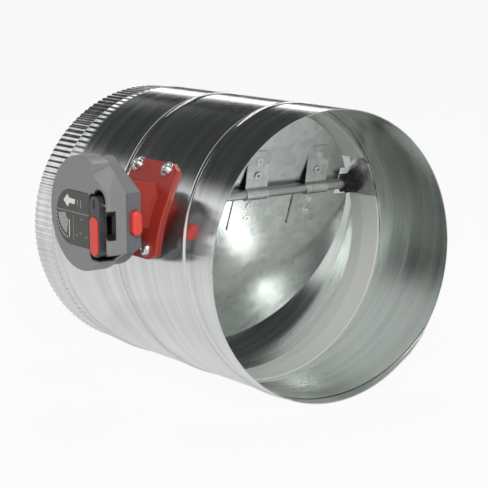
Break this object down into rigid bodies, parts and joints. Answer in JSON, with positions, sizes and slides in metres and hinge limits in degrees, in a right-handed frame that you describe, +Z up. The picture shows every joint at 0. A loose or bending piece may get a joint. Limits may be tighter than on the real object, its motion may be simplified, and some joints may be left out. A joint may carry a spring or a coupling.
{
  "type": "bypass damper",
  "caption": "Round spiral-seam duct section with a hinged off-centre blade, one crimped end, and a grey operator with fold-out lever on a red bracket",
  "frame": {"origin": "middle of the plain end of the duct, on the duct axis", "axes": "+X along the blade shaft away from the operator, +Y along the duct toward the crimped end, +Z up"},
  "size_m": [0.3103, 0.3, 0.2562],
  "materials": {
    "galvanised_sheet": "rolled galvanised sheet, semi-bright",
    "blade_sheet": "galvanised sheet with spangle",
    "seat_band": "matt foam rubber",
    "shaft_steel": "plated steel",
    "screw_steel": "zinc plated",
    "spring_steel": "oiled spring steel",
    "black_plastic": "moulded, fine texture",
    "white_plastic": "moulded, smooth",
    "red_bracket": "moulded, satin",
    "red_plastic": "moulded, smooth",
    "rear_grey": "moulded, fine texture",
    "cover_grey": "moulded, fine texture",
    "label_grey": "printed film"
  },
  "bodies": {
    "casing": {"duct_shell": "galvanised_sheet", "lower_seat_band": "seat_band", "upper_seat_band": "seat_band", "far_bearing": "black_plastic", "bearing_saddle": "galvanised_sheet", "bearing_ring": "black_plastic", "near_bearing": "black_plastic", "operator_bracket": "red_bracket", "bracket_screws": "screw_steel", "rear_housing": "rear_grey", "front_cover": "cover_grey", "cover_screws": "screw_steel", "label_plate": "label_grey", "lever_tray": "black_plastic", "lever_pin": "shaft_steel", "near_button_spring": "spring_steel", "far_button_spring": "spring_steel", "power_spring": "spring_steel"},
    "blade": {"blade_plate": "blade_sheet", "blade_shaft": "shaft_steel", "blade_near_strap": "blade_sheet", "blade_middle_strap": "blade_sheet", "blade_far_strap": "blade_sheet", "strap_rivets": "screw_steel", "drive_hub": "white_plastic", "hub_pin": "shaft_steel"},
    "lever": {"reset_lever": "cover_grey", "lever_insert": "red_plastic"},
    "near_button": {"near_release_button": "red_plastic"},
    "far_button": {"far_release_button": "red_plastic"}
  },
  "joints": [
    {"name": "blade_turn", "type": "hinge", "parent": "casing", "child": "blade", "pos_m": [0, 0.125, 0.04], "axis": [1, 0, 0], "range_deg": [-21.7, 38.3]},
    {"name": "lever_fold", "type": "hinge", "parent": "casing", "child": "lever", "pos_m": [-0.174, 0.0978, 0.051], "axis": [0, 1, 0], "range_deg": [0, 90]},
    {"name": "near_button_press", "type": "slide", "parent": "casing", "child": "near_button", "axis": [0, 1, 0], "range_m": [0, 0.002], "stiffness_N_per_m": 400, "springref_m": -0.002, "deforming": ["near_button_spring"]},
    {"name": "far_button_press", "type": "slide", "parent": "casing", "child": "far_button", "axis": [0, -1, 0], "range_m": [0, 0.002], "stiffness_N_per_m": 400, "springref_m": -0.002, "deforming": ["far_button_spring"]}
  ]
}
